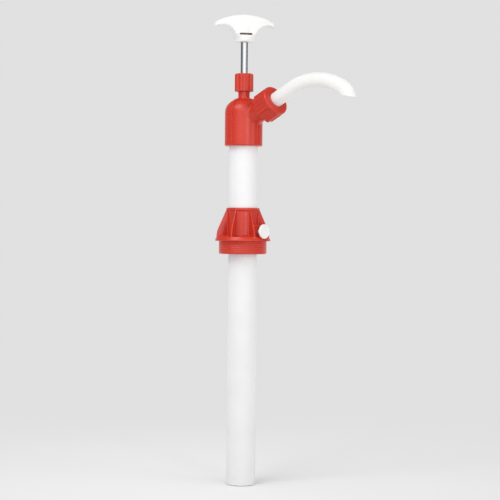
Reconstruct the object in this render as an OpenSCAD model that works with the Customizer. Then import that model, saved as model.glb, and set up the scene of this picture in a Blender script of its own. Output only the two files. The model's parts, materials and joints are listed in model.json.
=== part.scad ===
// Piston drum pump for a screwed drum bung. Millimetres, +Z up, spout towards +X.
// The origin is the middle of the flange underside, where the pump sits on the drum.

/* [Barrel tube] */
// Outside diameter of the tube
tube_od = 36; // [33:0.5:39]
// Wall of the tube
tube_wall = 2.5; // [2:0.25:3]
// Length of the tube
tube_len = 448; // [420:2:520]
// How far the tube reaches below the flange
tube_drop = 304; // [280:1:320]

/* [Pump head] */
// Wall of the head round the tube
head_wall = 5.6; // [4.8:0.2:6.2]
// How deep the tube is pushed into the head
head_socket = 25.8; // [23:0.2:28]
// Height of the straight side of the head
head_side = 41.5; // [41:0.1:46]
// Width of each of the four upright ribs
rib_w = 5.2; // [4:0.2:7]
// How far a rib stands out
rib_rise = 0.9; // [0.5:0.1:1.2]
// Diameter of the slim neck under the gland nut
neck_d = 14.4; // [12.6:0.2:15]
// Length of neck between shoulder and gland nut
neck_h = 9.5; // [6:0.1:12]

/* [Spout port] */
// Rise of the port above level, in degrees
port_rise = 26.2; // [23:0.2:28]
// Height above the foot of the head where the port meets the axis
port_up = 29; // [28.8:0.2:33]
// Diameter of the plain boss
boss_d = 25.4; // [25.2:0.2:28]
// Reach of the boss from the axis
boss_reach = 35.4; // [34:0.2:37]
// Diameter of the threaded end
port_d = 25; // [24:0.2:25.2]
// Bore of the port
port_bore = 15; // [13:0.5:16]

/* [Spout] */
// Outside diameter of the spout
spout_od = 18.3; // [17:0.1:19.5]
// Wall of the spout
spout_wall = 1.9; // [1.5:0.1:2.5]
// Straight length before the bend
spout_straight = 34.3; // [30:0.1:50]
// Radius of the long bend
bend_r = 85; // [60:1:110]
// Slope at the end of the long bend, in degrees below level
bend_slope = 29.5; // [20:0.5:40]
// Radius of the tight bend at the mouth
lip_bend_r = 20.5; // [13:0.5:24]
// Slope at the mouth, in degrees below level
lip_slope = 67.5; // [55:0.5:75]
// Tilt of the cut across the mouth
lip_cut = 8; // [0:1:15]

/* [Union nut] */
// Diameter over the ribs
union_d = 38; // [36:0.5:41]
// Length of the nut
union_len = 24.1; // [23.5:0.1:28]
// Number of flutes
union_flutes = 12; // [9:1:12]
// Depth of each flute
union_flute_depth = 1.7; // [0.8:0.1:1.8]

/* [Gland] */
// Diameter over the ribs of the gland nut
gland_d = 23.2; // [22.4:0.2:25]
// Height of the gland nut
gland_h = 22.3; // [21:0.1:24]
// Number of flutes
gland_flutes = 9; // [7:1:10]
// Depth of each flute
gland_flute_depth = 1.2; // [0.6:0.1:1.4]
// Diameter of the threaded stuffing box
box_d = 17; // [16.6:0.1:17.2]

/* [Rod and handle] */
// Diameter of the rod
rod_d = 9; // [8:0.25:9.25]
// Length of rod that shows between gland nut and handle
rod_show = 39.1; // [39:0.1:60]
// Span of the handle
handle_span = 76.6; // [74:0.2:90]
// Height of the handle
handle_h = 33.7; // [33:0.1:38]
// Diameter of the round neck of the handle
handle_neck_d = 22.8; // [21:0.2:23]
// Radius of the arc over the top
handle_crown_r = 80; // [76:1:100]
// Radius of each finger arc
finger_r = 17.5; // [16.5:0.5:18]
// Turn of the handle about the rod, in degrees from the spout
handle_turn = 54; // [0:1:180]
// Width of the clip slot
slot_w = 16.2; // [14.4:0.2:18]
// Height of the clip slot
slot_h = 2.2; // [2:0.2:3.6]

/* [Piston and valves] */
// Height of the piston
piston_h = 15.4; // [14:0.2:20]
// Lift of the piston valve
valve_lift = 2.5; // [1.5:0.1:4]
// Diameter of the foot valve ball
ball_d = 18; // [17:0.5:19]
// Lift of the ball
ball_lift = 6; // [4:0.5:8]
// Free length of tube below the foot valve
foot_free = 10; // [6:1:16]

/* [Bung adapter] */
// Diameter over the bung thread
thread_d = 60; // [58:0.2:62]
// Length of the bung thread
thread_len = 16.25; // [14:0.25:22]
// Diameter of the flange lip
flange_d = 69.5; // [68:0.5:76]
// Height of the adapter above the flange underside
adapter_h = 41.2; // [38:0.2:50]
// Thickness of the ribs
web_w = 1.8; // [1.4:0.2:3]
// Number of ribs
webs = 7; // [6:1:9]
// Turn of the ribs about the axis, in degrees
web_turn = 4; // [0:0.5:8]

/* [Clamp screw] */
// Diameter of the disc head
knob_d = 17.8; // [15:0.2:18]
// Thickness of the disc head
knob_t = 3.2; // [3:0.1:5]
// Diameter of the screw
clamp_d = 7; // [6:0.5:8]
// Height of the screw above the flange underside
clamp_z = 12.2; // [12:0.1:13]

/* [Hidden] */
$fn = 96;
e = 0.01;
push = 0.1;
run = 0.1;
tube_r = tube_od / 2;
bore_r = tube_r - tube_wall;
tube_z0 = -tube_drop;
tube_z1 = tube_len - tube_drop;

head_r = tube_r + head_wall;
head_z0 = tube_z1 - head_socket;
shoulder_z = head_z0 + head_side;
shoulder_c = neck_d / 2 - 0.6;
shoulder_r = head_r - shoulder_c;
neck_z = shoulder_z + shoulder_r;
gland_z0 = neck_z + neck_h;
box_z0 = gland_z0 + 1;
box_floor = box_z0 + 2.4;
box_z1 = gland_z0 + 14.4;
box_r = box_d / 2 - 1.5;
rod_hole = rod_d / 2 + run;
gland_roof = gland_z0 + 16.6;
gland_z1 = gland_z0 + gland_h;
follower_z1 = gland_roof - 0.1;

port_z = head_z0 + port_up;
union_s0 = boss_reach + 0.3;
union_s1 = union_s0 + union_len;
union_wall = 4;
washer_s1 = union_s1 - union_wall - 0.1;
washer_s0 = washer_s1 - 0.8;
collar_s1 = washer_s0 - 0.1;
collar_s0 = collar_s1 - 3;
port_end = collar_s0 - 1.6;
seal_s1 = collar_s0 - 0.05;
seal_s0 = port_end + 0.05;
union_bore = port_d / 2 + 0.2;
collar_r = port_d / 2 - 0.6;
spout_r = spout_od / 2;
spout_in = spout_r - spout_wall;
bend_s = collar_s0 + spout_straight;
bend_p = [bend_s * cos(port_rise), port_z + bend_s * sin(port_rise)];
bend_c = bend_p + bend_r * [sin(port_rise), -cos(port_rise)];
lip_c = bend_c + (bend_r - lip_bend_r) * [sin(bend_slope), cos(bend_slope)];
lip_p = lip_c + lip_bend_r * [sin(lip_slope), cos(lip_slope)];
lip_drop = 1;

handle_z0 = gland_z1 + rod_show;
handle_z1 = handle_z0 + handle_h;
handle_half = handle_span / 2;
finger_x = handle_neck_d / 2 + finger_r + 0.25;
finger_z = handle_z0 + 2.6;
slot_z = handle_z0 + 9.4;
rod_top = slot_z + 6.5;
clip_t = slot_h - 0.6;

seat_z0 = tube_z0 + foot_free;
seat_h = 12;
seat_z1 = seat_z0 + seat_h;
seat_hole = 6;
ball_r = ball_d / 2;
cone_top = ball_r + 0.2;
ball_z = seat_z1 - cone_top + ball_r * sqrt(2) + 0.08;
cage_z0 = ball_z + ball_r + ball_lift + 0.2;
cage_z1 = cage_z0 + 4;
plunge = rod_show - 6.5;
nut_z0 = cage_z1 + plunge + 2.5;
nut_h = 6;
washer_z0 = nut_z0 + nut_h + 0.05;
washer_h = 1.6;
piston_z0 = washer_z0 + washer_h + 0.05;
piston_z1 = piston_z0 + piston_h;
disc_h = 1.6;
disc_z0 = piston_z1 + 0.05;
stop_z0 = disc_z0 + disc_h + valve_lift + 0.1;
stop_h = 2;
stem_r = rod_d / 2 - 0.5;
piston_r = bore_r - 0.3;
hub_r = rod_d / 2 + 1;
disc_r = piston_r - 2;
port_ring = (hub_r + disc_r) / 2;
ring_z = piston_z0 + piston_h / 2;
ring_r = 1.3;

thread_r = thread_d / 2;
flange_r = flange_d / 2;
slide_r = tube_r + 0.2;
core_r = tube_r + 1.7;
top_r = core_r + 1.1;
web_foot = flange_r - 1.25;
sleeve_r = slide_r + 4.2;
skirt_r = thread_r - 3.4;
cavity_z = 1.8;
seal_z = -6;
seal_r = 1.1;
boss_top = clamp_z + 8;
boss_face = thread_r - 1.2;
boss_slope = tan(180 / webs - web_turn);
clamp_hole = clamp_d / 2 + run;
pad_x0 = tube_r + 0.1;
pad_h = 2;
screw_x0 = pad_x0 + pad_h + 0.05;
knob_x0 = flange_r - 0.75;

red = [0.80, 0.18, 0.14];
white = [0.95, 0.95, 0.94];
steel = [0.75, 0.76, 0.78];
rubber = [0.12, 0.12, 0.13];

// Ring with a square section
module ring(r1, r0, z0, z1) {
    difference() {
        translate([0, 0, z0]) cylinder(r = r1, h = z1 - z0);
        translate([0, 0, z0 - 1]) cylinder(r = r0, h = z1 - z0 + 2);
    }
}

// Lays a shape along the port, with its Z axis on the port axis
module on_port() {
    translate([0, 0, port_z]) rotate([0, 90 - port_rise, 0]) children();
}

// Half outline of the head's outside, thicker by d
module head_outline(d) {
    translate([0, head_z0]) square([head_r + d - 1.2, head_side]);
    translate([0, head_z0 + 1.2]) square([head_r + d, head_side - 1.2]);
    translate([head_r + d - 1.2, head_z0 + 1.2]) circle(r = 1.2);
    translate([0, shoulder_z - e]) square([shoulder_c, shoulder_r + d + e]);
    intersection() {
        translate([shoulder_c, shoulder_z]) circle(r = shoulder_r + d);
        translate([0, shoulder_z - e]) square([head_r + d + 1, shoulder_r + d + e]);
    }
}

// Half outline of the hollow inside the head
module head_hollow() {
    translate([0, head_z0 - 1]) square([tube_r + push, head_socket + 1.1]);
    translate([0, tube_z1]) square([bore_r, shoulder_z - tube_z1]);
    intersection() {
        translate([bore_r - 11, shoulder_z - e]) circle(r = 11);
        translate([0, shoulder_z - e]) square([bore_r, 12]);
    }
    translate([0, shoulder_z - e]) square([bore_r - 11, 11]);
    translate([0, shoulder_z]) square([rod_hole, box_z1 - shoulder_z + 1]);
    translate([0, box_floor]) square([box_r, box_z1 - box_floor + 1]);
}

module pump_head() {
    color(red) difference() {
        union() {
            rotate_extrude() intersection() {
                head_outline(0);
                translate([0, head_z0 - 1]) square([head_r + 5, 200]);
            }
            intersection() {
                rotate_extrude() intersection() {
                    head_outline(rib_rise);
                    translate([0, head_z0 - 1]) square([head_r + 5, 200]);
                }
                union() {
                    translate([-head_r * 2, -rib_w / 2, head_z0]) cube([head_r * 4, rib_w, 100]);
                    translate([-rib_w / 2, -head_r * 2, head_z0]) cube([rib_w, head_r * 4, 100]);
                }
            }
            translate([0, 0, neck_z - 3]) cylinder(d = neck_d, h = box_z0 - neck_z + 4);
            translate([0, 0, box_z0]) cylinder(d = box_d, h = box_z1 - box_z0);
            on_port() cylinder(d = boss_d, h = boss_reach);
            on_port() cylinder(d = port_d, h = port_end);
        }
        rotate_extrude() head_hollow();
        on_port() cylinder(d = port_bore, h = port_end + 1);
    }
}

module barrel_tube() {
    color(white) ring(tube_r, bore_r, tube_z0, tube_z1);
}

module foot_valve_seat() {
    color(white) difference() {
        translate([0, 0, seat_z0]) cylinder(r = bore_r - push / 2, h = seat_h);
        translate([0, 0, seat_z0 - 1]) cylinder(r = seat_hole, h = seat_h + 2);
        translate([0, 0, seat_z1 - cone_top]) cylinder(r1 = 0, r2 = cone_top, h = cone_top);
        translate([0, 0, seat_z1 - e]) cylinder(r = cone_top, h = 1);
    }
}

module foot_valve_ball() {
    color(steel) translate([0, 0, ball_z]) sphere(r = ball_r);
}

// Ring and cross over the ball, on four legs that stand on the seat
module foot_valve_cage() {
    color(white) {
        ring(bore_r - push / 2, bore_r - 3, cage_z0, cage_z1);
        for (a = [0, 90]) rotate(a) translate([2 - bore_r, -1.5, cage_z0]) cube([2 * bore_r - 4, 3, 3]);
        intersection() {
            ring(bore_r - push / 2, bore_r - 3, seat_z1 + 0.05, cage_z0 + 1);
            for (a = [0, 90]) rotate(a) translate([-20, -2, seat_z1]) cube([40, 4, 60]);
        }
    }
}

module rod_packing() {
    color(rubber) ring(box_r - push, rod_d / 2 + 0.05, box_floor + 0.1, box_floor + 5.4);
}

module gland_follower() {
    color(white) difference() {
        union() {
            translate([0, 0, box_floor + 5.6]) cylinder(r = box_r - 0.2, h = follower_z1 - box_floor - 5.6);
            translate([0, 0, box_z1 + 0.4]) cylinder(d = box_d - 1, h = follower_z1 - box_z1 - 0.4);
        }
        cylinder(r = rod_hole, h = gland_z1);
    }
}

// Nut with open flutes from end to end
module gland_nut() {
    flute_r = 3.4;
    color(red) difference() {
        rotate_extrude() {
            translate([0, gland_z0]) square([gland_d / 2, gland_h - 1.5]);
            translate([0, gland_z0]) square([gland_d / 2 - 1.5, gland_h]);
            translate([gland_d / 2 - 1.5, gland_z1 - 1.5]) circle(r = 1.5);
        }
        for (i = [0 : gland_flutes - 1]) rotate(94 + (i + 0.5) * 360 / gland_flutes)
            translate([gland_d / 2 + flute_r - gland_flute_depth, 0, gland_z0 - 1])
                cylinder(r = flute_r, h = gland_h + 2, $fn = 48);
        translate([0, 0, gland_z0 - 1]) cylinder(d = box_d + 0.4, h = gland_roof - gland_z0 + 1);
        cylinder(r = rod_hole + 0.15, h = gland_z1 + 1);
    }
}

module piston_rod() {
    stem_z0 = nut_z0 - 1.5;
    color(steel) difference() {
        union() {
            translate([0, 0, stop_z0 + stop_h]) cylinder(d = rod_d, h = rod_top - stop_z0 - stop_h);
            translate([0, 0, stem_z0]) cylinder(r = stem_r, h = stop_z0 + stop_h - stem_z0);
        }
        ring(rod_d, rod_d / 2 - 1.2, slot_z - slot_h / 2, slot_z + slot_h / 2);
    }
}

// Half section across the handle, rounded along its top edges
module handle_section() {
    half = handle_neck_d / 2;
    edge = 5;
    translate([0, -half]) square([handle_crown_r - edge, 2 * half]);
    translate([0, edge - half]) square([handle_crown_r, 2 * (half - edge)]);
    for (s = [-1, 1]) translate([handle_crown_r - edge, s * (half - edge)]) circle(r = edge);
}

// Grip with a crowned top, cut below by the two finger arcs
module handle_grip() {
    half = handle_neck_d / 2;
    side_r = 186;
    difference() {
        intersection() {
            translate([0, 0, handle_z1 - handle_crown_r]) rotate([90, 0, 0])
                rotate_extrude($fn = 240) handle_section();
            translate([0, 0, finger_z + 4]) linear_extrude(60) intersection() {
                circle(r = handle_half, $fn = 160);
                translate([0, side_r - half]) circle(r = side_r, $fn = 360);
                translate([0, half - side_r]) circle(r = side_r, $fn = 360);
            }
        }
        for (s = [-1, 1]) translate([s * finger_x, 50, finger_z]) rotate([90, 0, 0])
            cylinder(r = finger_r, h = 100);
    }
}

// Cone that trims the corners of the grip where it runs into the neck
module handle_flare() {
    foot = handle_neck_d / 2 + 0.3;
    brim = handle_half + 2;
    rotate_extrude() polygon([[0, handle_z0], [foot, handle_z0], [foot, finger_z + 2], [brim, finger_z + 22],
        [brim, handle_z1 + 1], [0, handle_z1 + 1]]);
}

module t_handle() {
    color(white) rotate(handle_turn) difference() {
        union() {
            intersection() {
                handle_grip();
                handle_flare();
            }
            rotate_extrude() {
                translate([0, handle_z0]) square([handle_neck_d / 2 - 1, 14]);
                translate([0, handle_z0 + 1]) square([handle_neck_d / 2, 13]);
                translate([handle_neck_d / 2 - 1, handle_z0 + 1]) circle(r = 1);
            }
        }
        translate([0, 0, handle_z0 - 1]) cylinder(r = rod_d / 2 + 0.05, h = rod_top - handle_z0 + 1.2);
        translate([0, 0, slot_z]) rotate([90, 0, 0]) linear_extrude(60, center = true) {
            square([slot_w - slot_h, slot_h], center = true);
            for (s = [-1, 1]) translate([s * (slot_w - slot_h) / 2, 0]) circle(d = slot_h);
        }
    }
}

// Flat fork that straddles the groove of the rod
module handle_clip() {
    reach = handle_neck_d / 2 - 4.2;
    color(steel) rotate(handle_turn) translate([0, 0, slot_z - clip_t / 2]) difference() {
        translate([-slot_w / 2 + 1.5, -reach, 0]) cube([slot_w - 3, 2 * reach, clip_t]);
        translate([0, 0, -1]) cylinder(r = rod_d / 2 - 1.1, h = clip_t + 2);
        translate([1.1 - rod_d / 2, 0, -1]) cube([rod_d - 2.2, 2 * reach, clip_t + 2]);
    }
}

module piston_body() {
    color(white) difference() {
        union() {
            translate([0, 0, piston_z0]) cylinder(r = piston_r, h = piston_h);
            translate([0, 0, piston_z1 - e]) cylinder(r = hub_r, h = stop_z0 - piston_z1 - 0.04);
        }
        translate([0, 0, piston_z0 - 1]) cylinder(r = stem_r + 0.05, h = 60);
        for (i = [0 : 5]) rotate(i * 60) translate([port_ring, 0, piston_z0 - 1])
            cylinder(d = 4.6, h = piston_h + 2, $fn = 48);
        ring(piston_r + 1, piston_r - 2.4, ring_z - 1.5, ring_z + 1.5);
    }
}

module piston_ring() {
    color(rubber) rotate_extrude() translate([bore_r - 0.04 - ring_r, ring_z]) circle(r = ring_r, $fn = 32);
}

module valve_stop() {
    color(steel) ring(disc_r - 3, stem_r + 0.05, stop_z0, stop_z0 + stop_h - 0.05);
}

module valve_disc() {
    color(rubber) ring(disc_r, hub_r + 0.3, disc_z0, disc_z0 + disc_h);
}

module piston_washer() {
    color(steel) ring(port_ring - 2.6, stem_r + 0.05, washer_z0, washer_z0 + washer_h);
}

module piston_nut() {
    color(steel) translate([0, 0, nut_z0]) difference() {
        cylinder(d = 13 / cos(30), h = nut_h, $fn = 6);
        translate([0, 0, -1]) cylinder(r = stem_r + 0.05, h = nut_h + 2);
    }
}

// Section of the spout's wall, thinner by d on both sides
module spout_section(d) {
    difference() {
        circle(r = spout_r - d, $fn = 48);
        circle(r = spout_in + d, $fn = 48);
    }
}

// Collar, straight, long bend, tight bend and a short end that is cut across.
// Each length runs a little way into the next one's wall.
module spout_tube() {
    lap = 0.3;
    lip_lap = lap / lip_bend_r * 180 / PI;
    color(white) difference() {
        union() {
            on_port() ring(collar_r, spout_in + 0.06, collar_s0, collar_s0 + 3);
            on_port() ring(spout_r - 0.03, spout_in + 0.03, collar_s0 + 1, bend_s + lap);
            translate([bend_c[0], 0, bend_c[1]]) rotate([90, 0, 0]) rotate(90 - bend_slope)
                rotate_extrude(angle = port_rise + bend_slope, $fn = 160) translate([bend_r, 0])
                    spout_section(0);
            translate([lip_c[0], 0, lip_c[1]]) rotate([90, 0, 0]) rotate(90 - lip_slope)
                rotate_extrude(angle = lip_slope - bend_slope + lip_lap) translate([lip_bend_r, 0])
                    spout_section(0.03);
            translate([lip_p[0], 0, lip_p[1]]) rotate([0, 90 + lip_slope, 0])
                ring(spout_r - 0.06, spout_in + 0.06, -lap, 14);
        }
        translate([lip_p[0], 0, lip_p[1] - lip_drop]) rotate([0, lip_cut, 0])
            translate([-40, -40, -40]) cube([80, 80, 40]);
    }
}

module spout_seal() {
    color(rubber) on_port() ring(collar_r, port_bore / 2, seal_s0, seal_s1);
}

module spout_washer() {
    color(white) on_port() ring(collar_r, spout_r + 0.2, washer_s0, washer_s1);
}

// Union nut: flutes that are open at the back and closed at the front, and a plain rounded rim
module spout_nut() {
    flute_r = 4.2;
    flute_c = union_d / 2 + flute_r - union_flute_depth;
    flute_s1 = union_s1 - 7;
    rim = 3.5;
    color(red) on_port() difference() {
        rotate_extrude() {
            translate([0, union_s0]) square([union_d / 2 - rim, union_len]);
            translate([0, union_s0]) square([union_d / 2, union_len - rim]);
            translate([union_d / 2 - rim, union_s1 - rim]) circle(r = rim);
        }
        for (i = [0 : union_flutes - 1]) rotate(11.6 + i * 360 / union_flutes) translate([flute_c, 0, 0])
            rotate_extrude($fn = 48) intersection() {
                union() {
                    translate([0, union_s0 - 5]) square([flute_r, flute_s1 - union_s0 + 5]);
                    translate([0, flute_s1]) circle(r = flute_r);
                }
                translate([0, union_s0 - 5]) square([flute_r, union_len + 10]);
            }
        translate([0, 0, union_s0 - 1]) cylinder(r = union_bore, h = union_len - union_wall + 1);
        cylinder(r = spout_r + 0.25, h = union_s1 + 1);
    }
}

// Half outline of the adapter: thread, flange lip, cone foot, core and top ring
module adapter_outline() {
    polygon([[0, -thread_len], [thread_r - 1.25, -thread_len], [thread_r, 1.25 - thread_len], [thread_r, 0],
        [flange_r - 0.4, 0], [flange_r, 0.5], [flange_r, 1.3], [flange_r - 2.2, 5.6],
        [core_r, 6.8], [core_r, adapter_h - 4], [top_r, adapter_h - 2.9], [top_r, adapter_h - 0.6],
        [top_r - 0.6, adapter_h], [0, adapter_h]]);
}

module adapter_web() {
    rotate([90, 0, 0]) linear_extrude(web_w, center = true)
        polygon([[slide_r + 0.6, 2.4], [web_foot, 2.4], [web_foot, 11], [top_r - 0.1, adapter_h - 1.2],
            [slide_r + 0.6, adapter_h - 1.2]]);
}

// Boss for the clamp screw, a wedge that widens outwards like the space between two ribs
module clamp_boss() {
    root = core_r - 0.8;
    translate([0, 0, 4]) linear_extrude(boss_top - 4)
        polygon([[root, -root * boss_slope], [boss_face, -boss_face * boss_slope],
            [boss_face, boss_face * boss_slope], [root, root * boss_slope]]);
}

module bung_adapter() {
    color(red) difference() {
        union() {
            rotate_extrude() adapter_outline();
            for (i = [0 : webs - 1]) rotate((i + 0.5) * 360 / webs + web_turn) adapter_web();
            clamp_boss();
        }
        translate([0, 0, -thread_len - 1]) cylinder(r = slide_r, h = adapter_h + thread_len + 2);
        ring(skirt_r, sleeve_r, -thread_len - 1, cavity_z);
        ring(slide_r + 2 * seal_r + 0.1, slide_r - 1, seal_z - 1.4, seal_z + 1.4);
        translate([0, 0, clamp_z]) rotate([0, 90, 0]) cylinder(r = clamp_hole, h = boss_face + 1);
    }
}

module adapter_seal() {
    color(rubber) rotate_extrude() translate([tube_r + 0.05 + seal_r, seal_z]) circle(r = seal_r, $fn = 32);
}

module clamp_pad() {
    color(white) translate([pad_x0, 0, clamp_z]) rotate([0, 90, 0]) cylinder(d = clamp_d - 0.4, h = pad_h);
}

// Thumb screw with a rounded disc head
module clamp_screw() {
    color(white) translate([0, 0, clamp_z]) rotate([0, 90, 0]) {
        translate([0, 0, screw_x0]) cylinder(d = clamp_d, h = knob_x0 - screw_x0 + 1);
        rotate_extrude() {
            translate([0, knob_x0]) square([knob_d / 2, knob_t - 1]);
            translate([0, knob_x0]) square([knob_d / 2 - 1, knob_t]);
            translate([knob_d / 2 - 1, knob_x0 + knob_t - 1]) circle(r = 1);
        }
    }
}

bung_adapter();
adapter_seal();
clamp_screw();
clamp_pad();
barrel_tube();
pump_head();
foot_valve_seat();
foot_valve_ball();
foot_valve_cage();
rod_packing();
gland_follower();
gland_nut();
piston_rod();
t_handle();
handle_clip();
piston_body();
piston_ring();
valve_stop();
valve_disc();
piston_washer();
piston_nut();
spout_tube();
spout_seal();
spout_washer();
spout_nut();
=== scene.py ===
import json
import math

import bpy
import numpy as np
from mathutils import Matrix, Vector


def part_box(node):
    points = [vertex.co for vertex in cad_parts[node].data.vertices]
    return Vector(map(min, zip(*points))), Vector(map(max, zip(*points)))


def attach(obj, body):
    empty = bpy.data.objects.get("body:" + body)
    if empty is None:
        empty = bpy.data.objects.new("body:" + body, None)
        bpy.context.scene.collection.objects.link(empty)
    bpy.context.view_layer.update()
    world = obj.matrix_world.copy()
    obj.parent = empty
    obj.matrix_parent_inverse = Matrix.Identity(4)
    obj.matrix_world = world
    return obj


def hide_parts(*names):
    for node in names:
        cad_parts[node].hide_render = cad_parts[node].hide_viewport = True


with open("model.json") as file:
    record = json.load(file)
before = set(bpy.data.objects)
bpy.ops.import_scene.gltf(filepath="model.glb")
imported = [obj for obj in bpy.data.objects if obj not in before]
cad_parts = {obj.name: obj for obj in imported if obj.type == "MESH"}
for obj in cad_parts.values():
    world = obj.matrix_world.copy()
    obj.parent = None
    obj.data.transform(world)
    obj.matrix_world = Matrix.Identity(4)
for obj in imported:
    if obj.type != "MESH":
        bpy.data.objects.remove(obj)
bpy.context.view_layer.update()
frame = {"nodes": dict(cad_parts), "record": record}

# Sizes in millimetres, as in the part's source, and angles in radians
MM = 0.001
NOWHERE = 1e3

# Tube
TUBE_R = 18.0
TUBE_BORE_R = 15.5
TUBE_Z0 = -304.0
TUBE_Z1 = 144.0
TUBE_EDGE = 0.5
TUBE_SIDES = 160

# Slanting port of the head; S is a distance along its axis from the axis of the tube
PORT_Z = 147.2
PORT_RISE = math.radians(26.2)
PORT_COS = math.cos(PORT_RISE)
PORT_SIN = math.sin(PORT_RISE)
PORT_R = 12.5
PORT_S0 = 20.0
PORT_S1 = 50.2
PORT_BORE_R = 7.5
PORT_BORE_S1 = 90.0
PORT_PITCH = 3.0
PORT_THREAD = 0.9
PORT_BOSS_R = 12.7
PORT_BOSS_S1 = 35.4

# Head; its box holds the packing of the rod
HEAD_R = 23.6
HEAD_Z0 = 118.2
HEAD_Z1 = 176.7
HEAD_SHOULDER = 17.0
HEAD_OPEN_Z = 40.0
RIB_RISE = 1.3
RIB_HALF = 2.6
SOCKET_PLAY = 0.1
CHAMBER_Z0 = 130.0
CHAMBER_Z1 = 170.7
CHAMBER_DOME = 10.9
NECK_R = 7.2
NECK_Z0 = 150.0
NECK_OVERLAP = 1.0
ROD_HOLE_R = 4.6
BOX_R = 8.5
BOX_BORE_R = 7.0
BOX_Z0 = 187.2
BOX_FLOOR = 189.6
BOX_Z1 = 200.6
BOX_OPEN_Z = 260.0
BOX_PITCH = 2.0
BOX_THREAD = 0.6

# Gland nut
GLAND_R = 11.6
GLAND_Z0 = 186.2
GLAND_Z1 = 208.5
GLAND_ROOF = 202.8
GLAND_OPEN_Z = 150.0
GLAND_BORE_R = 8.7
GLAND_HOLE_R = 4.75
GLAND_FLUTES = 9
GLAND_TURN = math.radians(114)
GLAND_FLUTE_R = 3.4
GLAND_FLUTE_OUT = 2.1

# Union nut on the port
UNION_R = 19.0
UNION_S0 = 35.7
UNION_S1 = 59.8
UNION_WALL = 4.0
UNION_BORE_R = 12.7
UNION_HOLE_R = 9.4
UNION_FLUTES = 12
UNION_TURN = math.radians(18.4)
UNION_FLUTE_R = 4.2
UNION_FLUTE_OUT = 2.2
UNION_FLUTE_STOP = 7.0

# Spout: straight from the port, a wide bend, a tight bend and a slant-cut lip
SPOUT_R = 9.15
SPOUT_BORE_R = 7.25
COLLAR_R = 11.9
COLLAR_S0 = 51.8
COLLAR_H = 3.0
BEND_S = 86.1
BEND_R = 85.0
BEND_SLOPE = math.radians(29.5)
LIP_R = 20.5
LIP_SLOPE = math.radians(67.5)
LIP_LENGTH = 30.0
LIP_CUT = math.radians(8)
LIP_DROP = 1.0
LIP_X = 130.0

# Handle
HANDLE_Z0 = 247.6
HANDLE_Z1 = 281.3
HANDLE_HALF = 38.3
HANDLE_TURN = math.radians(54)
HANDLE_OPEN_Z = 200.0
GRIP_CROWN_R = 80.0
GRIP_SIDE_R = 186.0
FINGER_R = 17.5
FINGER_X = 29.15
FINGER_Z = 250.2
TIP_Z = FINGER_Z - 0.5
STEM_R = 11.4
STEM_Z0 = 230.0
STEM_Z1 = 268.0
WAIST_X = 14.0
WAIST_Z = FINGER_Z + 6.5
WAIST_H = 7.0
WAIST_LEAST = 0.1
SLOT_Z = 257.0
SLOT_W = 16.2
SLOT_H = 2.2
SLOT_REACH = 40.0
ROD_SOCKET_R = 4.55
ROD_SOCKET_Z1 = 263.7

# Adapter
ADAPTER_Z1 = 41.2
ADAPTER_BORE_R = 18.2
ADAPTER_OPEN_Z = -40.0
CORE_R = 19.7
CORE_Z0 = -30.0
CORE_Z1 = 40.4
TOP_R = 20.8
TOP_H = 3.4
FLANGE_R = 34.75
FLANGE_Z = 1.3
FLANGE_SLOPE = 0.51
FLANGE_SCALE = 1.12
DECK_R = 32.5
DECK_Z = 5.6
DECK_SLOPE = 0.094
WEBS = 7
WEB_TURN = math.radians(4)
WEB_HALF = 0.95
WEB_ROOT_R = 12.0
WEB_TOP_R = 20.7
WEB_FOOT_R = 33.5
WEB_Z0 = 2.4
WEB_Z1 = 40.2
WEB_EDGE_Z = 40.0
WEB_FALL = 29.0
WEB_RUN = 12.8
WEB_LENGTH = 31.7
CLAMP_Z = 12.2
CLAMP_BOSS_X0 = 15.0
CLAMP_BOSS_X1 = 28.8
CLAMP_BOSS_Z0 = 3.5
CLAMP_BOSS_RISE = 8.0
CLAMP_BOSS_SCALE = 0.9
CLAMP_HOLE_R = 3.6
BUNG_R = 30.0
BUNG_Z0 = -16.25
BUNG_Z1 = 1.0
BUNG_PITCH = 2.31
BUNG_THREAD = 0.5
BUNG_LEAD_H = 1.25
BUNG_LEAD_SLOPE = 0.9
POCKET_R0 = 22.4
POCKET_R1 = 26.6
POCKET_Z1 = 1.8
SEAL_R = 20.5
SEAL_Z0 = -7.4
SEAL_Z1 = -4.6

# Clamp screw
KNOB_R = 8.9
KNOB_X0 = 34.0
KNOB_X1 = 37.2
DISH_R = 6.2
DISH_DEPTH = 0.5
SHANK_R = 3.5
SHANK_X0 = 20.15
SHANK_OVERLAP = 1.0
SHANK_PITCH = 2.0
SHANK_THREAD = 0.6

# Form of every thread
FLANK_STEEPNESS = 2.6
CREST_SHARE = 0.3
FLANK_CURVE = 1.2


# Signed distance shapes, which are below zero inside
def joined(a, b, fillet):
    """Either of two shapes, with a fillet where they meet."""
    h = np.clip(0.5 + 0.5 * (b - a) / fillet, 0, 1)
    return b + (a - b) * h - fillet * h * (1 - h)


def common(a, b, edge):
    """What two shapes have in common, with a softened edge."""
    return -joined(-a, -b, edge)


def without(a, b, edge):
    """The first shape without the second, with a softened edge."""
    return common(a, -b, edge)


def rounded(a, b, radius):
    """What two shapes have in common, with an edge that is an arc."""
    a = a + radius
    b = b + radius
    return np.minimum(np.maximum(a, b), 0) + np.hypot(np.maximum(a, 0), np.maximum(b, 0)) - radius


def between(t, lo, hi):
    return np.abs(t - (lo + hi) / 2) - (hi - lo) / 2


def drum(r, t, radius, lo, hi, edge):
    """Cylinder with rounded rims."""
    return rounded(r - radius, between(t, lo, hi), edge)


def arc(x, z, centre, radius, start, stop):
    """Distance from an arc in the XZ plane, whose angles start at the Z axis."""
    dx = x - centre[0]
    dz = z - centre[1]
    angle = np.arctan2(dx, dz)
    return np.where((angle >= start) & (angle <= stop), np.abs(np.hypot(dx, dz) - radius), NOWHERE)


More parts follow.
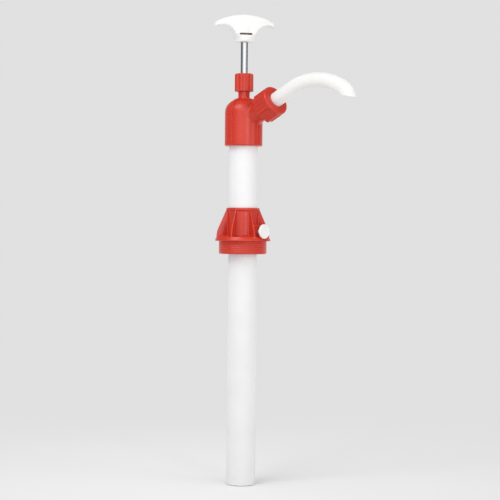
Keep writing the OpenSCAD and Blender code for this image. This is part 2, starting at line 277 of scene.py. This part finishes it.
def on_port(x, y, z):
    """Distance along the port's axis, distance from it, and angle about it."""
    along = x * PORT_COS + (z - PORT_Z) * PORT_SIN
    up = -x * PORT_SIN + (z - PORT_Z) * PORT_COS
    return along, np.hypot(up, y), np.arctan2(y, up)


def fold(angle, count, start):
    """Angle from the nearest of count evenly spaced lines."""
    step = 2 * math.pi / count
    return (angle - start + step / 2) % step - step / 2


def thread(angle, t, pitch, depth):
    """How far a rounded thread lies under its crest."""
    turn = (t / pitch - angle / (2 * math.pi)) % 1.0
    return depth * np.clip(np.abs(turn - 0.5) * FLANK_STEEPNESS - CREST_SHARE, 0, 1) ** FLANK_CURVE


def turned_by(x, y, angle):
    """Coordinates in axes turned by an angle about Z."""
    c = math.cos(angle)
    s = math.sin(angle)
    return x * c + y * s, y * c - x * s


def pump_head(x, y, z):
    r = np.hypot(x, y)
    s, q, angle = on_port(x, y, z)
    body = drum(r, z, HEAD_R, HEAD_OPEN_Z, HEAD_Z1, edge=HEAD_SHOULDER)
    ribs = common(body - RIB_RISE, np.minimum(np.abs(x), np.abs(y)) - RIB_HALF, edge=0.3)
    body = joined(body, ribs, fillet=0.12)
    body = joined(body, drum(r, z, NECK_R, NECK_Z0, BOX_Z0 + NECK_OVERLAP, edge=0.4), fillet=2.2)
    body = joined(body, drum(q, s, PORT_BOSS_R, 0, PORT_BOSS_S1, edge=1.2), fillet=1.4)
    body = common(body, HEAD_Z0 - z, edge=1.6)
    port = drum(q + thread(angle, s, PORT_PITCH, PORT_THREAD), s, PORT_R, PORT_S0, PORT_S1, edge=0.8)
    box_r = r + thread(np.arctan2(y, x), z, BOX_PITCH, BOX_THREAD)
    box = drum(box_r, z, BOX_R, BOX_Z0, BOX_Z1, edge=0.5)
    body = np.minimum(joined(body, port, fillet=0.5), box)
    hollow = drum(r, z, TUBE_R + SOCKET_PLAY, HEAD_OPEN_Z, TUBE_Z1 + SOCKET_PLAY, edge=0.3)
    hollow = np.minimum(hollow, drum(r, z, TUBE_BORE_R, CHAMBER_Z0, CHAMBER_Z1, edge=CHAMBER_DOME))
    hollow = np.minimum(hollow, np.maximum(r - ROD_HOLE_R, NECK_Z0 - z))
    hollow = np.minimum(hollow, drum(r, z, BOX_BORE_R, BOX_FLOOR, BOX_OPEN_Z, edge=0.3))
    hollow = np.minimum(hollow, drum(q, s, PORT_BORE_R, 0, PORT_BORE_S1, edge=0.3))
    return without(body, hollow, edge=0.5)


def gland_nut(x, y, z):
    r = np.hypot(x, y)
    angle = fold(np.arctan2(y, x), GLAND_FLUTES, GLAND_TURN)
    nut = common(r - GLAND_R, z - GLAND_Z1, edge=2.0)
    nut = common(nut, GLAND_Z0 - z, edge=0.9)
    flute = np.hypot(r * np.cos(angle) - GLAND_R - GLAND_FLUTE_OUT, r * np.sin(angle))
    nut = without(nut, flute - GLAND_FLUTE_R, edge=0.25)
    nut = without(nut, drum(r, z, GLAND_BORE_R, GLAND_OPEN_Z, GLAND_ROOF, edge=0.3), edge=0.6)
    return without(nut, r - GLAND_HOLE_R, edge=0.7)


def spout_nut(x, y, z):
    s, r, angle = on_port(x, y, z)
    angle = fold(angle, UNION_FLUTES, UNION_TURN)
    nut = rounded(r - UNION_R, s - UNION_S1, radius=2.8)
    nut = common(nut, UNION_S0 - s, edge=1.0)
    past = np.maximum(s - UNION_S1 + UNION_FLUTE_STOP, 0)
    flute = np.hypot(r * np.cos(angle) - UNION_R - UNION_FLUTE_OUT, r * np.sin(angle))
    nut = without(nut, np.hypot(flute, past) - UNION_FLUTE_R, edge=0.2)
    nut = without(nut, drum(r, s, UNION_BORE_R, 0, UNION_S1 - UNION_WALL, edge=0.3), edge=0.8)
    return without(nut, r - UNION_HOLE_R, edge=0.9)


def t_handle(x, y, z):
    x, y = turned_by(x, y, HANDLE_TURN)
    r = np.hypot(x, y)
    crown = np.hypot(x, z - HANDLE_Z1 + GRIP_CROWN_R) - GRIP_CROWN_R
    sides = np.hypot(x, np.abs(y) + GRIP_SIDE_R - STEM_R) - GRIP_SIDE_R
    grip = common(common(crown, sides, edge=5.5), r - HANDLE_HALF, edge=3.0)
    finger = np.hypot(np.abs(x) - FINGER_X, z - FINGER_Z) - FINGER_R
    grip = without(grip, finger, edge=2.2)
    grip = np.maximum(grip, TIP_Z - z)
    low = np.clip((WAIST_Z - z) / WAIST_H, 0, 1)
    waist = STEM_R ** 2 - low * np.minimum(np.abs(x), WAIST_X) ** 2
    grip = common(grip, np.abs(y) - np.sqrt(np.maximum(waist, WAIST_LEAST)), edge=1.5)
    stem = common(drum(r, z, STEM_R, STEM_Z0, STEM_Z1, edge=1.5), HANDLE_Z0 - z, edge=1.6)
    body = joined(grip, stem, fillet=1.2)
    slot = rounded(np.abs(x) - SLOT_W / 2, np.abs(z - SLOT_Z) - SLOT_H / 2, radius=1.0)
    body = without(body, np.maximum(slot, np.abs(y) - SLOT_REACH), edge=0.35)
    return without(body, drum(r, z, ROD_SOCKET_R, HANDLE_OPEN_Z, ROD_SOCKET_Z1, edge=0.2), edge=0.5)


def spout_tube(x, y, z):
    s, q, _ = on_port(x, y, z)
    bend = (BEND_S * PORT_COS + BEND_R * PORT_SIN, PORT_Z + BEND_S * PORT_SIN - BEND_R * PORT_COS)
    reach = BEND_R - LIP_R
    lip = (bend[0] + reach * math.sin(BEND_SLOPE), bend[1] + reach * math.cos(BEND_SLOPE))
    lip_cos = math.cos(LIP_SLOPE)
    lip_sin = math.sin(LIP_SLOPE)
    dx = x - lip[0] - LIP_R * lip_sin
    dz = z - lip[1] - LIP_R * lip_cos
    onward = dx * lip_cos - dz * lip_sin
    straight = np.where(s <= BEND_S, q, NOWHERE)
    tail = np.where((onward >= 0) & (onward < LIP_LENGTH), np.abs(dx * lip_sin + dz * lip_cos), NOWHERE)
    bends = np.minimum(arc(x, z, bend, BEND_R, -PORT_RISE, BEND_SLOPE),
                       arc(x, z, lip, LIP_R, BEND_SLOPE, LIP_SLOPE))
    out = np.minimum(straight, np.hypot(np.minimum(bends, tail), y))
    wall = common(out - SPOUT_R, COLLAR_S0 - s, edge=0.3)
    wall = joined(wall, drum(q, s, COLLAR_R, COLLAR_S0, COLLAR_S0 + COLLAR_H, edge=0.4), fillet=0.6)
    wall = without(wall, out - SPOUT_BORE_R, edge=0.5)
    below = -(dx * math.sin(LIP_CUT) + (dz + LIP_DROP) * math.cos(LIP_CUT))
    return common(wall, np.where(x > LIP_X, below, -NOWHERE), edge=0.7)


def adapter_webs(r, angle, z):
    angle = fold(angle, WEBS, math.pi / WEBS + WEB_TURN)
    out = r * np.cos(angle)
    slope = ((out - WEB_TOP_R) * WEB_FALL + (z - WEB_EDGE_Z) * WEB_RUN) / WEB_LENGTH
    web = common(np.abs(r * np.sin(angle)) - WEB_HALF, common(slope, out - WEB_FOOT_R, edge=2.0), edge=0.6)
    web = common(web, between(z, WEB_Z0, WEB_Z1), edge=0.5)
    return np.maximum(web, WEB_ROOT_R - out)


def adapter_skirt(r, z):
    taper = (r - FLANGE_R + FLANGE_SLOPE * (z - FLANGE_Z)) / FLANGE_SCALE
    skirt = common(r - FLANGE_R, taper, edge=0.6)
    skirt = common(skirt, z - DECK_Z + (r - DECK_R) * DECK_SLOPE, edge=0.9)
    return common(skirt, -z, edge=0.7)


def bung_thread(r, angle, z):
    crest = r + thread(angle, z, BUNG_PITCH, BUNG_THREAD)
    screw = drum(crest, z, BUNG_R, BUNG_Z0, BUNG_Z1, edge=1.1)
    screw = common(screw, r - BUNG_R - (z - BUNG_Z0 - BUNG_LEAD_H) * BUNG_LEAD_SLOPE, edge=0.4)
    return np.where(z < BUNG_Z1, screw, NOWHERE)


def clamp_boss(x, y, z):
    wedge = (np.abs(y) - x * math.tan(math.pi / WEBS - WEB_TURN)) * CLAMP_BOSS_SCALE
    boss = common(wedge, between(x, CLAMP_BOSS_X0, CLAMP_BOSS_X1), edge=1.0)
    return common(boss, between(z, CLAMP_BOSS_Z0, CLAMP_Z + CLAMP_BOSS_RISE), edge=1.4)


def bung_adapter(x, y, z):
    r = np.hypot(x, y)
    angle = np.arctan2(y, x)
    body = drum(r, z, CORE_R, CORE_Z0, CORE_Z1, edge=0.6)
    body = joined(body, drum(r, z, TOP_R, ADAPTER_Z1 - TOP_H, ADAPTER_Z1, edge=0.8), fillet=0.8)
    body = joined(body, adapter_skirt(r, z), fillet=1.4)
    body = joined(body, adapter_webs(r, angle, z), fillet=0.9)
    body = joined(body, clamp_boss(x, y, z), fillet=0.7)
    body = np.minimum(body, bung_thread(r, angle, z))
    pocket = rounded(between(r, POCKET_R0, POCKET_R1), between(z, ADAPTER_OPEN_Z, POCKET_Z1), radius=0.8)
    body = without(body, pocket, edge=0.6)
    body = common(body, np.where(z < BUNG_Z1, BUNG_Z0 - z, -NOWHERE), edge=0.4)
    body = without(body, r - ADAPTER_BORE_R, edge=0.7)
    body = without(body, np.maximum(between(z, SEAL_Z0, SEAL_Z1), r - SEAL_R), edge=0.2)
    return without(body, np.maximum(np.hypot(y, z - CLAMP_Z) - CLAMP_HOLE_R, -x), edge=0.6)


def clamp_screw(x, y, z):
    r = np.hypot(y, z - CLAMP_Z)
    angle = np.arctan2(z - CLAMP_Z, y)
    disc = rounded(r - KNOB_R, between(x, KNOB_X0, KNOB_X1), radius=1.0)
    disc = without(disc, np.hypot(np.maximum(r - DISH_R, 0), x - KNOB_X1) - DISH_DEPTH, edge=0.4)
    crest = r + thread(angle, x, SHANK_PITCH, SHANK_THREAD)
    shank = drum(crest, x, SHANK_R, SHANK_X0, KNOB_X0 + SHANK_OVERLAP, edge=0.5)
    return joined(disc, shank, fillet=0.5)


# Surface nets: one vertex in each cell that a shape's surface crosses
MARGIN = 0.6
LAYERS = 24
SETTLE_ROUNDS = 3
SETTLE_SHARE = 0.4
SLOPE_LEAST = 0.2
STEP_LEAST = 1e-9
PROBE = 0.01
CORNERS = [(i, j, k) for i in (0, 1) for j in (0, 1) for k in (0, 1)]


def sampled(shape, lo, counts, cell):
    """Distances on a grid, a few layers at a time."""
    x, y, z = (lo[i] + cell * np.arange(counts[i]) for i in range(3))
    dist = np.empty(counts, np.float32)
    for i in range(0, counts[0], LAYERS):
        dist[i:i + LAYERS] = shape(x[i:i + LAYERS, None, None], y[None, :, None], z[None, None, :])
    return dist


def crossed_cells(inside):
    """Cells that the surface crosses, and a grid with the number of each."""
    m, n, p = (size - 1 for size in inside.shape)
    filled = sum(inside[i:m + i, j:n + j, k:p + k].astype(np.int8) for i, j, k in CORNERS)
    crossed = (filled > 0) & (filled < len(CORNERS))
    cells = np.argwhere(crossed)
    number = np.full(crossed.shape, -1, np.int64)
    number[crossed] = np.arange(len(cells))
    return cells, number


def crossing_means(dist, cells):
    """Mean of the points where the surface crosses the edges of each cell, in cells."""
    place = np.zeros((len(cells), 3))
    hits = np.zeros(len(cells))
    for corner in CORNERS:
        for axis in range(3):
            if corner[axis]:
                continue
            along = np.eye(3, dtype=int)[axis]
            d0 = dist[tuple((cells + corner).T)].astype(float)
            d1 = dist[tuple((cells + corner + along).T)].astype(float)
            crosses = (d0 < 0) != (d1 < 0)
            share = np.where(crosses, d0 / np.where(d0 == d1, 1, d0 - d1), 0)
            place += (np.array(corner) + share[:, None] * along) * crosses[:, None]
            hits += crosses
    return cells + place / hits[:, None]


def settled(shape, points, cell):
    """Points moved onto the surface by short steps down the slope."""
    for _ in range(SETTLE_ROUNDS):
        rises = [shape(*(points + d).T) - shape(*(points - d).T) for d in np.eye(3) * PROBE]
        slope = np.stack(rises, 1) / (2 * PROBE)
        step = (shape(*points.T) / np.maximum((slope * slope).sum(1), SLOPE_LEAST))[:, None] * slope
        length = np.linalg.norm(step, axis=1, keepdims=True)
        points = points - step * np.minimum(1, SETTLE_SHARE * cell / np.maximum(length, STEP_LEAST))
    return points


def net_faces(inside, number):
    """A quad about each grid edge that the surface crosses."""
    quads = []
    for axis in range(3):
        b, c = [i for i in range(3) if i != axis]
        here = np.delete(inside, -1, axis)
        beyond = np.delete(inside, 0, axis)
        for leaving in (True, False):
            at = np.argwhere((here & ~beyond) if leaving else (~here & beyond))
            for i in (b, c):
                at = at[(at[:, i] > 0) & (at[:, i] < inside.shape[i] - 1)]
            ring = []
            for back_b, back_c in ((1, 1), (0, 1), (0, 0), (1, 0)):
                cells = at.copy()
                cells[:, b] -= back_b
                cells[:, c] -= back_c
                ring.append(number[tuple(cells.T)])
            ring = np.stack(ring, 1)
            quads.append(ring if leaving != (axis == 1) else ring[:, ::-1])
    return np.concatenate(quads)


def surface(shape, lo, hi, cell):
    lo = lo - 2 * cell
    counts = np.ceil((hi + 2 * cell - lo) / cell).astype(int) + 1
    dist = sampled(shape, lo, counts, cell)
    inside = dist < 0
    cells, number = crossed_cells(inside)
    points = lo + cell * crossing_means(dist, cells)
    return settled(shape, points, cell), net_faces(inside, number)


# Pieces
def to_mesh(name, points, faces):
    mesh = bpy.data.meshes.new(name)
    mesh.vertices.add(len(points))
    mesh.vertices.foreach_set("co", (points * MM).astype(np.float32).ravel())
    sides = faces.shape[1]
    mesh.loops.add(len(faces) * sides)
    mesh.loops.foreach_set("vertex_index", faces.astype(np.int32).ravel())
    mesh.polygons.add(len(faces))
    mesh.polygons.foreach_set("loop_start", np.arange(0, len(faces) * sides, sides, dtype=np.int32))
    mesh.polygons.foreach_set("use_smooth", np.ones(len(faces), bool))
    mesh.update(calc_edges=True)
    mesh.validate()
    piece = bpy.data.objects.new(name, mesh)
    bpy.context.scene.collection.objects.link(piece)
    return piece


def placed(piece, node, body):
    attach(piece, body)
    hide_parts(node)
    return piece


def moulded(name, shape, cell, node, body):
    lo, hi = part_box(node)
    points, faces = surface(shape, np.array(lo) / MM - MARGIN, np.array(hi) / MM + MARGIN, cell)
    return placed(to_mesh(name, points, faces), node, body)


def turned(name, outline, sides, node, body):
    """Closed outline of (radius, height) points turned about the Z axis."""
    r, z = np.array(outline).T
    angle = np.arange(sides) * 2 * math.pi / sides
    rings = [np.outer(np.cos(angle), r), np.outer(np.sin(angle), r), np.outer(np.ones(sides), z)]
    here = np.arange(sides)[:, None] * len(r)
    beyond = (np.arange(sides)[:, None] + 1) % sides * len(r)
    k = np.arange(len(r))[None, :]
    k_next = (k + 1) % len(r)
    faces = np.stack([here + k, beyond + k, beyond + k_next, here + k_next], 2).reshape(-1, 4)
    return placed(to_mesh(name, np.stack(rings, 2).reshape(-1, 3), faces), node, body)


def tube_outline():
    """Section of the tube's wall, with its four rims rounded."""
    outer = TUBE_R - TUBE_EDGE
    inner = TUBE_BORE_R + TUBE_EDGE
    low = TUBE_Z0 + TUBE_EDGE
    high = TUBE_Z1 - TUBE_EDGE
    points = []
    for r, z, start in ((outer, low, -90), (outer, high, 0), (inner, high, 90), (inner, low, 180)):
        for angle in np.radians(np.linspace(start, start + 90, 5)):
            points.append((r + TUBE_EDGE * math.cos(angle), z + TUBE_EDGE * math.sin(angle)))
    return points


# Materials; the grain of some is drawn out along Z
DARK_AT = 0.3
LIGHT_AT = 0.7
CLOUD_SCALE = 26.0
CLOUD_DETAIL = 5.0
GRAIN_DETAIL = 3.0
SMOOTH_AT = 0.25
SMOOTH_BY = 0.05
COARSE_AT = 0.75
COARSE_BY = 0.06
BRUSH_SCALE = 260.0
BRUSH_DETAIL = 4.0
BRUSH_SMOOTH_BY = 0.04
BRUSH_COARSE_BY = 0.05
PLASTIC_IOR = 1.45
ALONG_TUBE = (1.0, 1.0, 0.02)
ALONG_ROD = (1.0, 1.0, 0.04)
ALONG_STEEL = (1.0, 1.0, 0.2)


def grey(value):
    return (value, value, value)


def shader(name):
    material = bpy.data.materials.new(name)
    material.use_nodes = True
    tree = material.node_tree
    return material, tree.nodes, tree.links, tree.nodes["Principled BSDF"]


def noise(nodes, links, place, scale, detail, stretch=None):
    texture = nodes.new("ShaderNodeTexNoise")
    texture.inputs["Scale"].default_value = scale
    texture.inputs["Detail"].default_value = detail
    if stretch:
        mapping = nodes.new("ShaderNodeMapping")
        mapping.inputs["Scale"].default_value = stretch
        links.new(place, mapping.inputs["Vector"])
        place = mapping.outputs["Vector"]
    links.new(place, texture.inputs["Vector"])
    return texture.outputs["Fac"]


def ramp(nodes, links, fac, stops):
    node = nodes.new("ShaderNodeValToRGB")
    elements = node.color_ramp.elements
    while len(elements) < len(stops):
        elements.new(0.5)
    for element, (position, colour) in zip(elements, stops):
        element.position = position
        element.color = (*colour, 1)
    links.new(fac, node.inputs["Fac"])
    return node.outputs["Color"]


def bump(nodes, links, principled, height, distance):
    node = nodes.new("ShaderNodeBump")
    node.inputs["Distance"].default_value = distance
    node.inputs["Strength"].default_value = 1.0
    links.new(height, node.inputs["Height"])
    links.new(node.outputs["Normal"], principled.inputs["Normal"])


def plastic(name, dark, light, rough, grain=900.0, stretch=None, lift=0.00002):
    material, nodes, links, principled = shader(name)
    place = nodes.new("ShaderNodeTexCoord").outputs["Object"]
    cloud = noise(nodes, links, place, CLOUD_SCALE, CLOUD_DETAIL)
    tint = ramp(nodes, links, cloud, [(DARK_AT, dark), (LIGHT_AT, light)])
    links.new(tint, principled.inputs["Base Color"])
    fine = noise(nodes, links, place, grain, GRAIN_DETAIL, stretch)
    smooth = grey(rough - SMOOTH_BY)
    coarse = grey(rough + COARSE_BY)
    gloss = ramp(nodes, links, fine, [(SMOOTH_AT, smooth), (COARSE_AT, coarse)])
    links.new(gloss, principled.inputs["Roughness"])
    bump(nodes, links, principled, fine, lift)
    principled.inputs["IOR"].default_value = PLASTIC_IOR
    return material


def metal(name, dark, light, rough, stretch, lift=0.00001):
    material, nodes, links, principled = shader(name)
    place = nodes.new("ShaderNodeTexCoord").outputs["Object"]
    fine = noise(nodes, links, place, BRUSH_SCALE, BRUSH_DETAIL, stretch)
    tint = ramp(nodes, links, fine, [(DARK_AT, dark), (LIGHT_AT, light)])
    links.new(tint, principled.inputs["Base Color"])
    smooth = grey(rough - BRUSH_SMOOTH_BY)
    coarse = grey(rough + BRUSH_COARSE_BY)
    gloss = ramp(nodes, links, fine, [(DARK_AT, smooth), (LIGHT_AT, coarse)])
    links.new(gloss, principled.inputs["Roughness"])
    principled.inputs["Metallic"].default_value = 1.0
    if lift:
        bump(nodes, links, principled, fine, lift)
    return material


def dress(piece, material):
    piece.data.materials.clear()
    piece.data.materials.append(material)


RED = plastic("red_polypropylene", (0.500, 0.023, 0.008), (0.540, 0.028, 0.011), 0.28, lift=0.000006)
WHITE = plastic("white_polypropylene", (0.745, 0.742, 0.735), (0.775, 0.772, 0.767), 0.36)
TUBE = plastic("extruded_tube", (0.722, 0.718, 0.726), (0.755, 0.751, 0.760), 0.38, 500.0, ALONG_TUBE)
STEEL = metal("stainless", (0.32, 0.32, 0.33), (0.44, 0.44, 0.45), 0.28, ALONG_STEEL)
SPRING = metal("dark_spring_steel", (0.05, 0.045, 0.04), (0.09, 0.08, 0.075), 0.42, ALONG_STEEL)
CHROME = metal("bright_plating", (0.36, 0.37, 0.38), (0.40, 0.41, 0.42), 0.16, ALONG_ROD, 0.0)
RUBBER = plastic("nitrile_rubber", (0.012, 0.012, 0.013), (0.030, 0.030, 0.032), 0.55, 700.0)
BY_SLOT = {
    "red_plastic": RED,
    "white_plastic": WHITE,
    "steel": STEEL,
    "bright_steel": CHROME,
    "rubber": RUBBER,
}

# Pieces made here: name, shape, cell, node, body and slot
MOULDINGS = [
    ("head_moulding", pump_head, 0.38, "pump_head", "barrel", "red_plastic"),
    ("gland_nut_moulding", gland_nut, 0.3, "gland_nut", "gland_nut", "red_plastic"),
    ("union_nut_moulding", spout_nut, 0.4, "spout_nut", "spout_nut", "red_plastic"),
    ("handle_moulding", t_handle, 0.5, "t_handle", "plunger", "white_plastic"),
    ("spout_moulding", spout_tube, 0.5, "spout_tube", "spout", "white_plastic"),
    ("adapter_moulding", bung_adapter, 0.42, "bung_adapter", "adapter", "red_plastic"),
    ("clamp_screw_moulding", clamp_screw, 0.3, "clamp_screw", "clamp_screw", "white_plastic"),
]
replaced = {"barrel_tube"}
for name, shape, cell, node, body, slot in MOULDINGS:
    dress(moulded(name, shape, cell, node, body), BY_SLOT[slot])
    replaced.add(node)
dress(turned("tube_extrusion", tube_outline(), TUBE_SIDES, "barrel_tube", "barrel"), TUBE)

# CAD nodes that show as they are
CREASE = math.radians(30)
slots = {part["node"]: part["material_slot"] for part in frame["record"]["subparts"]}
for node, solid in frame["nodes"].items():
    if node not in replaced:
        dress(solid, SPRING if node == "handle_clip" else BY_SLOT[slots[node]])
        for face in solid.data.polygons:
            face.use_smooth = True
        edges = solid.modifiers.new("edges", "EDGE_SPLIT")
        edges.split_angle = CREASE

# Stage, in metres; away from the pump the floor and the backdrop have one tone
GROUND = 0.75
FLOOR_SIZE = 14
FLOOR_GAP = 0.0005
FLOOR_DARK = 0.76
FLOOR_LIGHT = 0.78
FLOOR_ROUGH = 0.9
FLOOR_CLOUD_SCALE = 3.0
FLOOR_CLOUD_DETAIL = 4.0
HAZE_START = 0.05
HAZE_FULL = 0.8
HAZE_LIGHT = 1.0
CAMERA_TURN = math.radians(42)
BACK = Vector((math.sin(CAMERA_TURN), -math.cos(CAMERA_TURN), 0))
RIGHT = Vector((math.cos(CAMERA_TURN), math.sin(CAMERA_TURN), 0))
UP = Vector((0, 0, 1))
scene = bpy.context.scene


def floor_material():
    material, nodes, links, principled = shader("pale_floor")
    place = nodes.new("ShaderNodeTexCoord").outputs["Object"]
    cloud = noise(nodes, links, place, FLOOR_CLOUD_SCALE, FLOOR_CLOUD_DETAIL)
    tint = ramp(nodes, links, cloud, [(DARK_AT, grey(FLOOR_DARK)), (LIGHT_AT, grey(FLOOR_LIGHT))])
    links.new(tint, principled.inputs["Base Color"])
    principled.inputs["Roughness"].default_value = FLOOR_ROUGH
    principled.inputs["Specular IOR Level"].default_value = 0.0
    away = nodes.new("ShaderNodeVectorMath")
    away.operation = "LENGTH"
    links.new(place, away.inputs[0])
    far = nodes.new("ShaderNodeMapRange")
    far.interpolation_type = "SMOOTHSTEP"
    far.inputs["From Min"].default_value = HAZE_START
    far.inputs["From Max"].default_value = HAZE_FULL
    links.new(away.outputs["Value"], far.inputs["Value"])
    tone = nodes.new("ShaderNodeMapRange")
    tone.inputs["To Min"].default_value = HAZE_LIGHT
    tone.inputs["To Max"].default_value = GROUND
    links.new(nodes.new("ShaderNodeLightPath").outputs["Is Camera Ray"], tone.inputs["Value"])
    haze = nodes.new("ShaderNodeEmission")
    haze.inputs["Color"].default_value = (1, 1, 1, 1)
    links.new(tone.outputs["Result"], haze.inputs["Strength"])
    blend = nodes.new("ShaderNodeMixShader")
    links.new(far.outputs["Result"], blend.inputs["Fac"])
    links.new(principled.outputs["BSDF"], blend.inputs[1])
    links.new(haze.outputs["Emission"], blend.inputs[2])
    links.new(blend.outputs["Shader"], nodes["Material Output"].inputs["Surface"])
    return material


bpy.ops.mesh.primitive_plane_add(size=FLOOR_SIZE, location=(0, 0, TUBE_Z0 * MM - FLOOR_GAP))
floor = bpy.context.object
floor.name = "floor"
dress(floor, floor_material())

# World: plain for the camera, soft for diffuse light, and brightest towards FRONT in reflections
FRONT_TURN = math.radians(38)
FRONT_LEVEL = 0.98
FRONT_RISE = 0.2
FRONT = (math.sin(FRONT_TURN) * FRONT_LEVEL, -math.cos(FRONT_TURN) * FRONT_LEVEL, FRONT_RISE)
SKY_STRENGTH = 2.5
SOFT = [(0.0, 0.58), (0.5, 0.86), (1.0, 0.97)]
SHEEN = [(0.0, 1.1), (0.1, 0.6), (0.3, 0.28), (0.7, 0.30), (0.85, 0.80), (0.95, 2.2), (1.0, 2.5)]
world = bpy.data.worlds.new("studio")
scene.world = world
world.use_nodes = True
world_nodes = world.node_tree.nodes
world_links = world.node_tree.links
path = world_nodes.new("ShaderNodeLightPath")
facing = world_nodes.new("ShaderNodeVectorMath")
facing.operation = "DOT_PRODUCT"
facing.inputs[1].default_value = FRONT
world_links.new(world_nodes.new("ShaderNodeTexCoord").outputs["Generated"], facing.inputs[0])
frontness = world_nodes.new("ShaderNodeMapRange")
frontness.inputs["From Min"].default_value = -1.0
frontness.inputs["From Max"].default_value = 1.0
world_links.new(facing.outputs["Value"], frontness.inputs["Value"])


def plain_sky(value):
    node = world_nodes.new("ShaderNodeBackground")
    node.inputs["Color"].default_value = (*grey(value), 1)
    return node.outputs["Background"]


def graded_sky(stops):
    """Sky that goes from the first value behind the pump to the last in front of it."""
    node = world_nodes.new("ShaderNodeBackground")
    greys = [(position, grey(value / SKY_STRENGTH)) for position, value in stops]
    world_links.new(ramp(world_nodes, world_links, frontness.outputs["Result"], greys), node.inputs["Color"])
    node.inputs["Strength"].default_value = SKY_STRENGTH
    return node.outputs["Background"]


def either(ray, no, yes):
    mix = world_nodes.new("ShaderNodeMixShader")
    world_links.new(path.outputs[ray], mix.inputs["Fac"])
    world_links.new(no, mix.inputs[1])
    world_links.new(yes, mix.inputs[2])
    return mix.outputs["Shader"]


lighting = either("Is Glossy Ray", graded_sky(SOFT), graded_sky(SHEEN))
seen = either("Is Camera Ray", lighting, plain_sky(GROUND))
world_links.new(seen, world_nodes["World Output"].inputs["Surface"])

# Lights
LIGHT_TARGET = Vector((0, 0, 0.05))


def facing_turn(place, target):
    return (target - place).to_track_quat("-Z", "Y").to_euler()


def softbox(name, right, back, up, size, power):
    light = bpy.data.lights.new(name, "AREA")
    light.shape = "RECTANGLE"
    light.size, light.size_y = size
    light.energy = power
    lamp = bpy.data.objects.new(name, light)
    scene.collection.objects.link(lamp)
    lamp.location = RIGHT * right + BACK * back + UP * up
    lamp.rotation_euler = facing_turn(lamp.location, LIGHT_TARGET)


softbox("key", right=-0.80, back=0.90, up=1.45, size=(1.1, 1.1), power=13)
softbox("strip", right=0.80, back=1.70, up=0.2, size=(0.25, 1.4), power=4)
softbox("side", right=1.55, back=0.95, up=0.2, size=(0.5, 1.4), power=4)

# Camera; the picture is VIEW_WIDTH wide at the pump
SENSOR = 36
VIEW_WIDTH = 0.625
CAMERA_BACK = 1.8125
CAMERA_RIGHT = 0.0092
CAMERA_UP = 0.020
AIM_UP = -0.0112
CAMERA_ROLL = math.radians(0.5)
camera = bpy.data.cameras.new("camera")
camera.sensor_width = SENSOR
camera.lens = SENSOR * CAMERA_BACK / VIEW_WIDTH
viewer = bpy.data.objects.new("camera", camera)
scene.collection.objects.link(viewer)
viewer.location = BACK * CAMERA_BACK + RIGHT * CAMERA_RIGHT + UP * CAMERA_UP
viewer.rotation_euler = facing_turn(viewer.location, RIGHT * CAMERA_RIGHT + UP * AIM_UP)
viewer.rotation_euler.rotate_axis("Z", CAMERA_ROLL)
scene.camera = viewer
scene.view_settings.view_transform = "Standard"
scene.view_settings.look = "None"
